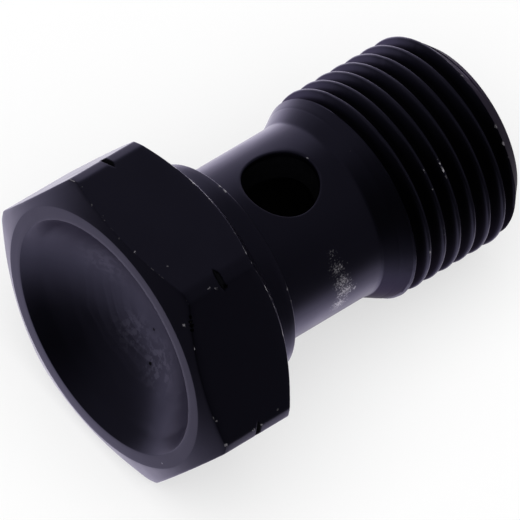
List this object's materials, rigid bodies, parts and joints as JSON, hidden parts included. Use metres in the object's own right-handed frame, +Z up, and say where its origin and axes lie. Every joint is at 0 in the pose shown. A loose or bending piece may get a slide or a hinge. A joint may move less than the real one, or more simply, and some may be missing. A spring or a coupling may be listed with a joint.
{
  "type": "banjo bolt",
  "caption": "Hollow banjo bolt with a dished hexagon head, guide collar, necked shank with a cross hole, and a fine thread, lying on a flat.",
  "frame": {"origin": "centre of the bounding box in X and Y, on the floor the bolt lies on", "axes": "+Z up; +X along the floor from the head to the thread end, the bolt axis dipping 7 degrees towards +X; one flat of the hexagon faces down"},
  "size_m": [0.0372, 0.0272, 0.0248],
  "materials": {
    "blackened_steel": "satin black oxide with small worn bright patches"
  },
  "bodies": {
    "root": {"banjo_bolt": "blackened_steel"}
  },
  "joints": []
}
